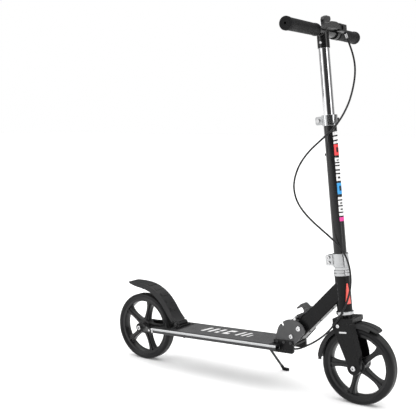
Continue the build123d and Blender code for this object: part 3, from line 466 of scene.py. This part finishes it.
def tube_mesh(name, pts, radius, sides=14, caps=True):
    """A tube along pts, its section carried along without twist; radius may be a list."""
    pts = [Vector(p) for p in pts]
    n = len(pts)
    rad = radius if isinstance(radius, (list, tuple)) else [radius] * n
    tan = [(pts[min(i + 1, n - 1)] - pts[max(i - 1, 0)]).normalized() for i in range(n)]
    u, w = frame_at(tan[0])
    verts, faces = [], []
    for i in range(n):
        if i:
            q = tan[i - 1].rotation_difference(tan[i])
            u = (q @ u).normalized()
            w = tan[i].cross(u)
        for k in range(sides):
            a = 2 * math.pi * k / sides
            verts.append(pts[i] + (u * math.cos(a) + w * math.sin(a)) * rad[i])
    for i in range(n - 1):
        for k in range(sides):
            k2 = (k + 1) % sides
            faces.append((i * sides + k, i * sides + k2, (i + 1) * sides + k2, (i + 1) * sides + k))
    if caps:
        faces.append(tuple(range(sides - 1, -1, -1)))
        faces.append(tuple((n - 1) * sides + k for k in range(sides)))
    me = bpy.data.meshes.new(name)
    me.from_pydata([tuple(v) for v in verts], [], faces)
    return me


def spline_points(ctrl, steps=14):
    """Points read from the smooth NURBS line of those control points."""
    cu = bpy.data.curves.new("route", "CURVE")
    cu.dimensions = "3D"
    sp = cu.splines.new("NURBS")
    sp.points.add(len(ctrl) - 1)
    for p, c in zip(sp.points, ctrl):
        p.co = (*c, 1)
    sp.order_u = 3
    sp.use_endpoint_u = True
    sp.resolution_u = steps
    ob = bpy.data.objects.new("route", cu)
    bpy.context.scene.collection.objects.link(ob)
    bpy.context.view_layer.update()
    me = bpy.data.meshes.new_from_object(ob)
    pts = [v.co.copy() for v in me.vertices]
    bpy.data.objects.remove(ob)
    bpy.data.curves.remove(cu)
    bpy.data.meshes.remove(me)
    return pts


def surf(fn, nu, nv, close_u=False):
    """Grid of points fn(i / nu, j / nv) and its faces."""
    verts = [fn(i / nu, j / nv) for i in range(nu + (0 if close_u else 1)) for j in range(nv + 1)]
    rows = nu + (0 if close_u else 1)
    faces = []
    for i in range(nu):
        a, b = i, (i + 1) % rows
        for j in range(nv):
            faces.append((a * (nv + 1) + j, b * (nv + 1) + j, b * (nv + 1) + j + 1, a * (nv + 1) + j + 1))
    return verts, faces


def lathe(profile, place, n=48):
    """Profile points (radius, height) turned about an axis; place(r cos, r sin, h) gives the point. The profile is a closed loop."""
    m = len(profile)
    verts, faces = [], []
    for i in range(n):
        a = 2 * math.pi * i / n
        for r, h in profile:
            verts.append(place(r * math.cos(a), r * math.sin(a), h))
    for i in range(n):
        i2 = (i + 1) % n
        for j in range(m):
            j2 = (j + 1) % m
            faces.append((i * m + j, i2 * m + j, i2 * m + j2, i * m + j2))
    return verts, faces


def prism(outline, y0, y1, place):
    """Closed outline (a, b) pushed from y0 to y1; place(a, y, b) gives the point."""
    n = len(outline)
    verts = [place(a, y0, b) for a, b in outline] + [place(a, y1, b) for a, b in outline]
    faces = [tuple(range(n - 1, -1, -1)), tuple(range(n, 2 * n))]
    faces += [(i, (i + 1) % n, n + (i + 1) % n, n + i) for i in range(n)]
    return verts, faces


def bevelled(o, width, segments=2, angle=30.0):
    md = o.modifiers.new("edge_round", "BEVEL")
    md.width, md.segments, md.limit_method, md.angle_limit = width, segments, "ANGLE", math.radians(angle)
    md.harden_normals = False
    return o


# ------------------------------------------------------------------ brake cable
# Its whole route in millimetres, from the barrel adjuster to the brake arm, cut where it passes from one moving part to the next.
CABLE = [
    (272.3, 66.7, 959.6), (281.9, 66.0, 937.2), (295.4, 64.0, 904.7), (304.9, 58.0, 874.7), (308.7, 50.0, 846.0), (308.7, 40.0, 815.7),
    (306.5, 24.0, 780.3), (301.0, 6.0, 750.8), (293.3, -12.0, 725.8), (282.9, -26.0, 706.3), (264.3, -36.0, 686.2), (244.4, -42.0, 667.5),
    (223.0, -45.0, 646.5), (203.5, -46.0, 621.6), (189.9, -46.5, 594.3), (182.4, -46.0, 565.1), (184.8, -46.5, 539.8), (194.6, -46.0, 514.0),
    (214.2, -45.0, 489.2), (239.8, -41.5, 465.3), (265.9, -36.0, 444.1), (290.6, -30.0, 423.4), (310.7, -25.0, 403.4), (325.2, -24.0, 381.4),
    (334.4, -24.0, 357.9), (339.0, -24.0, 331.3), (339.5, -26.0, 304.7), (335.1, -29.0, 278.9), (327.8, -34.0, 253.6), (318.6, -40.0, 231.1),
    (301.7, -41.5, 205.1), (276.0, -38.0, 175.9), (240.1, -30.0, 148.5), (205.0, -22.0, 128.3), (178.5, -12.8, 115.2), (147.0, -5.6, 111.2),
    (104, -4.2, 110.77), (60, -4.8, 108.83), (0, -1.8, 106.8), (-60, -4.8, 104.37), (-110, -2.6, 101.2), (-146, 0.4, 95.6),
    (-176, 0.3, 90.2), (-205.45, 0, 88.5),
]
# piece, first run and how far along it, last run and how far along it, real length, bodies it bends between, heights where the bend starts and ends
CUTS = [("cable_upper", 0, 0.0, 9, 0.5, 0.2994, ("handlebar", "steering")), ("cable_loop", 9, 0.5, 22, 0.5, 0.3925, ("steering",)),
        ("cable_head", 22, 0.5, 29, 0.5, 0.1853, ("steering", "neck")), ("cable_fold", 29, 0.5, 33, 0.5, 0.1569, ("neck", "frame")),
        ("cable_deck", 33, 0.5, 42, 1.0, 0.4015, ("frame",))]


def on_route(i, f):
    return Vector(CABLE[i]).lerp(Vector(CABLE[i + 1]), f) * 0.001


for nm, i0, f0, i1, f1, real, bodies in CUTS:
    ctrl = [on_route(i0, f0)] + [Vector(CABLE[i]) * 0.001 for i in range(i0 + 1, i1 + 1)] + [on_route(i1, f1)]
    pts = spline_points(ctrl)
    me = tube_mesh(nm + "_sheath", pts, 0.0025, 18)
    o = finish_piece(nm + "_sheath", me, "cable_sheath", bodies[0] if len(bodies) == 1 else None)
    if len(bodies) == 2:
        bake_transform(o)
    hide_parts(nm)


def ferrule(name, p, d, body, r=0.0033, length=0.013):
    """Metal end cap of the cable's sheath, with a rolled lip."""
    d = Vector(d).normalized()
    u, w = frame_at(d)
    prof = [(0.00262, 0.0), (r - 0.0002, 0.0), (r + 0.0003, 0.0004), (r + 0.0003, 0.0016), (r, 0.0021), (r, length - 0.002), (r - 0.0004, length - 0.0008), (0.0027, length), (0.00262, length)]
    v, f = lathe(prof, lambda a, b, h: Vector(p) + u * a + w * b + d * h, 28)
    return piece(name, v, f, "zinc_steel", body)


e0, e1 = Vector(CABLE[0]) * 0.001, Vector(CABLE[1]) * 0.001
ferrule("cable_end_cap_lever", e0 + (e1 - e0).normalized() * 0.0006, e1 - e0, "handlebar")
e0, e1 = Vector(CABLE[-1]) * 0.001, Vector(CABLE[-2]) * 0.001
ferrule("cable_end_cap_brake", e0 + (e1 - e0).normalized() * 0.0004, e1 - e0, "frame")

# the bare wire from the cable stop to the arm
w0, w1 = Vector((-0.2052, 0, 0.0885)), Vector((-0.2185, 0, 0.0875))
wp = [w0.lerp(w1, i / 6) for i in range(-2, 9)]
o = finish_piece("brake_wire", tube_mesh("brake_wire", wp, 0.0008, 10), "zinc_steel", None)
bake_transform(o)

# ------------------------------------------------------------------ edges broken on the hard parts
BODY = {n: name for name, members in frame["record"]["behaviour"]["bodies"].items() for n in members}
HARD = {
    "deck": 0.0005, "rear_arms": 0.0005, "hinge_base": 0.0005, "fender_bracket": 0.0004, "brake_bracket": 0.0004, "kickstand_bracket": 0.0005,
    "fork_crown": 0.0006, "fork_legs": 0.0007, "front_fender": 0.0004, "rear_fender": 0.0004, "neck_tube": 0.0005, "hinge_knuckle": 0.0005,
    "hinge_plates": 0.0004, "lock_lever": 0.0006, "lever_bracket": 0.0004, "stem_clamp": 0.0005, "column_clamp": 0.0005, "clamp_lever": 0.0009,
    "headset_nuts": 0.0004, "brake_arm": 0.0006, "brake_shoe": 0.0006, "brake_perch": 0.0008,
}
for n, wd in HARD.items():
    refine(n, BODY[n], wd)

# ------------------------------------------------------------------ coloured blocks on the column
def column_patch(name, mat, s_top, s_bot, a0, a1, skew=0.0, r=17.12, thick=0.10):
    """A thin sticker on the column: angles a0 to a1 about it, measured from forward to the right, in degrees; skew slants its ends."""
    n = max(6, int(abs(a1 - a0) / 5))

    def at(t, h, rr):
        a = math.radians(a0 + (a1 - a0) * t)
        s = s_bot + (s_top - s_bot) * h + skew * (t - 0.5)
        return st(rr * math.cos(a), -rr * math.sin(a), s)
    verts, faces = [], []
    for rr in (r - thick, r):
        for i in range(n + 1):
            for h in (0, 1):
                verts.append(at(i / n, h, rr))
    k = 2 * (n + 1)
    for i in range(n):
        a, b, c, d = 2 * i, 2 * i + 1, 2 * i + 3, 2 * i + 2
        faces += [(a, b, c, d), (k + d, k + c, k + b, k + a), (a, d, k + d, k + a), (b, k + b, k + c, c)]
    faces += [(0, k, k + 1, 1), (2 * n, 2 * n + 1, k + 2 * n + 1, k + 2 * n)]
    return piece(name, verts, faces, mat, "steering", smooth=50)



BLOCKS = [("white", [(606, 597), (593, 585), (581, 575.5)], 2.5), ("red", [(572.5, 544)], 0.0), ("white", [(538, 527), (523.5, 519.5), (516, 508)], 0.0),
          ("white", [(504, 498.5), (495, 478)], 0.0), ("blue", [(472.5, 443.5)], 0.0), ("white", [(436, 430), (426.5, 415)], 0.0),
          ("white", [(411.5, 398), (394.5, 387.5)], 0.0), ("pink", [(384, 373.5)], 0.0)]
for k, (colour, spans, skew) in enumerate(BLOCKS):
    for q, (hi, lo) in enumerate(spans):
        column_patch(f"column_mark_{k}_{q}", "decal_" + colour, hi, lo, 46, -24, skew)
# a darker square in each coloured block, and a notch in each second white one
for k, (hi, lo, a0, a1) in enumerate(((565, 552, 24, -4), (465, 452, 24, -4), (533, 530.5, 30, 0), (489, 484, 30, 0), (422, 418.5, 30, 0), (406, 402.5, 30, 0))):
    column_patch(f"column_inset_{k}", "lever_black", hi, lo, a0, a1, 0.0, r=17.2, thick=0.07)


def flat_mark(name, mat, corners, z0, z1, body):
    """A thin flat shape lying on the deck; corners are (forward, left) in millimetres."""
    n = len(corners)
    verts = [dk(a, y, z0) for a, y in corners] + [dk(a, y, z1) for a, y in corners]
    faces = [tuple(range(n - 1, -1, -1)), tuple(range(n, 2 * n))] + [(i, (i + 1) % n, n + (i + 1) % n, n + i) for i in range(n)]
    return piece(name, verts, faces, mat, body)


# slanted bars on the grip tape, the way a printed panel would sit there
def slant(a0, a1, y0, y1, k=0.22):
    return [(a0 + k * (y0 + 17), y0), (a1 + k * (y0 + 17), y0), (a1 + k * (y1 + 17), y1), (a0 + k * (y1 + 17), y1)]


for q, (a0, a1, y0, y1) in enumerate(((-140, -122, -16, 26), (-116, -98, -16, 26), (-92, -74, 4, 26), (-92, -74, -16, -2), (-66, -30, 12, 26), (-66, -30, -16, -6), (-66, -52, -6, 12),
                                      (-22, -8, -16, 26), (-2, 12, -16, 26), (18, 26, -16, 8))):
    flat_mark(f"deck_mark_{q}", "decal_white", slant(a0, a0 + 0.6 * (a1 - a0), y0, y1), 0.90, 1.02, "frame")

# pale slot-shaped inlay on each fork leg
for side in (-1, 1):
    shape = [(6.5 + 10.5 * (1 if c > 0 else -1) * 0.8 + 2.1 * math.cos(t), 90.1 + 2.1 * math.sin(t)) for c, lo_t in ((1, -90), (-1, 90)) for t in [math.radians(lo_t + 15 * i) for i in range(13)]]
    y_in, y_out = 35.02, 35.75
    vs, fs = prism(shape, side * y_in, side * y_out, lambda a, y, b: st(a, y, b))
    piece("fork_inlay_" + ("right" if side < 0 else "left"), vs, fs, "zinc_steel", BODY["fork_legs"])

# ------------------------------------------------------------------ stage
def stage_mesh(name, verts, faces, mat):
    me = bpy.data.meshes.new(name)
    me.from_pydata(verts, [], faces)
    o = bpy.data.objects.new(name, me)
    bpy.context.scene.collection.objects.link(o)
    me.materials.append(mat)
    return o


gfl = Graph("floor_white")
floor_mat = gfl.done(gfl.mix(gfl.noise(0.8, 2.0), (0.90, 0.90, 0.90), (0.92, 0.92, 0.92)), 0.9)
floor_mat.node_tree.nodes["Principled BSDF"].inputs["Specular IOR Level"].default_value = 0.1
floor_mat.node_tree.nodes["Principled BSDF"].inputs["Emission Color"].default_value = (1, 1, 1, 1)
floor_mat.node_tree.nodes["Principled BSDF"].inputs["Emission Strength"].default_value = 0.10
stage_mesh("floor", [(-40, -40, 0), (40, -40, 0), (40, 40, 0), (-40, 40, 0)], [(0, 1, 2, 3)], floor_mat)

# The studio: seen directly it is plain white; what shines in the metal and the paint is a room with a dark side
# in front of the object, soft boxes left and right of it, and a pale wall behind.
world = bpy.data.worlds.new("studio")
bpy.context.scene.world = world
world.use_nodes = True
wt = world.node_tree
wt.nodes.clear()
w_out = wt.nodes.new("ShaderNodeOutputWorld")
w_co = wt.nodes.new("ShaderNodeTexCoord")


def wdot(v):
    d = wt.nodes.new("ShaderNodeVectorMath")
    d.operation = "DOT_PRODUCT"
    wt.links.new(w_co.outputs["Generated"], d.inputs[0])
    d.inputs[1].default_value = v
    return d.outputs["Value"]


def wramp(value, lo, hi, stops):
    mr = wt.nodes.new("ShaderNodeMapRange")
    wt.links.new(value, mr.inputs[0])
    mr.inputs[1].default_value, mr.inputs[2].default_value = lo, hi
    cr = wt.nodes.new("ShaderNodeValToRGB")
    wt.links.new(mr.outputs[0], cr.inputs[0])
    e = cr.color_ramp.elements
    while len(e) < len(stops):
        e.new(0.5)
    for el, (p, c) in zip(e, stops):
        el.position, el.color = p, (c, c, c, 1)
    return cr.outputs[0]


def wmath(op, a, b):
    m = wt.nodes.new("ShaderNodeMath")
    m.operation = op
    for k, v in enumerate((a, b)):
        if hasattr(v, "links"):
            wt.links.new(v, m.inputs[k])
        else:
            m.inputs[k].default_value = v
    return m.outputs[0]


facing = wramp(wdot((0.557, -0.830, 0.0)), -1.0, 1.0, [(0.0, 0.10), (0.045, 0.14), (0.11, 0.80), (0.30, 0.62), (0.46, 0.22), (0.60, 0.30), (0.70, 1.40), (0.80, 1.25), (0.865, 0.10), (1.0, 0.045)])
side = wramp(wdot((0.830, 0.557, 0.0)), -1.0, 1.0, [(0.0, 1.0), (0.5, 0.72), (1.0, 0.85)])
high = wramp(wdot((0.0, 0.0, 1.0)), 0.0, 1.0, [(0.0, 0.0), (0.45, 0.12), (0.75, 0.85), (1.0, 1.0)])
room = wmath("MULTIPLY", facing, side)
room = wmath("ADD", wmath("MULTIPLY", room, wmath("SUBTRACT", 1.0, high)), wmath("MULTIPLY", high, 0.62))
bg_room = wt.nodes.new("ShaderNodeBackground")
wt.links.new(room, bg_room.inputs[0])
bg_room.inputs[1].default_value = 1.0
bg_seen = wt.nodes.new("ShaderNodeBackground")
bg_seen.inputs[0].default_value = (1, 1, 1, 1)
bg_seen.inputs[1].default_value = 1.0
w_path = wt.nodes.new("ShaderNodeLightPath")
w_mix = wt.nodes.new("ShaderNodeMixShader")
wt.links.new(w_path.outputs["Is Camera Ray"], w_mix.inputs[0])
wt.links.new(bg_room.outputs[0], w_mix.inputs[1])
wt.links.new(bg_seen.outputs[0], w_mix.inputs[2])
wt.links.new(w_mix.outputs[0], w_out.inputs[0])


def area(name, loc, target, size, power, sy=None):
    ld = bpy.data.lights.new(name, "AREA")
    ld.shape = "RECTANGLE"
    ld.size, ld.size_y = size, sy or size
    ld.energy = power
    lo = bpy.data.objects.new(name, ld)
    bpy.context.scene.collection.objects.link(lo)
    lo.location = loc
    lo.rotation_euler = (Vector(target) - Vector(loc)).to_track_quat("-Z", "Y").to_euler()
    return lo


area("soft_left", (-1.9, -2.1, 1.5), (0, 0, 0.4), 0.7, 16, 2.2)
area("soft_right", (2.6, -0.3, 1.4), (0.1, 0, 0.4), 0.6, 13, 2.2)
sun = bpy.data.lights.new("overhead", "SUN")
sun.energy, sun.angle = 2.9, math.radians(100)
sun_o = bpy.data.objects.new("overhead", sun)
bpy.context.scene.collection.objects.link(sun_o)
sun_o.rotation_euler = (math.radians(6), math.radians(-4), 0)
bpy.context.scene.view_settings.view_transform = "Standard"
bpy.context.scene.view_settings.look = "None"
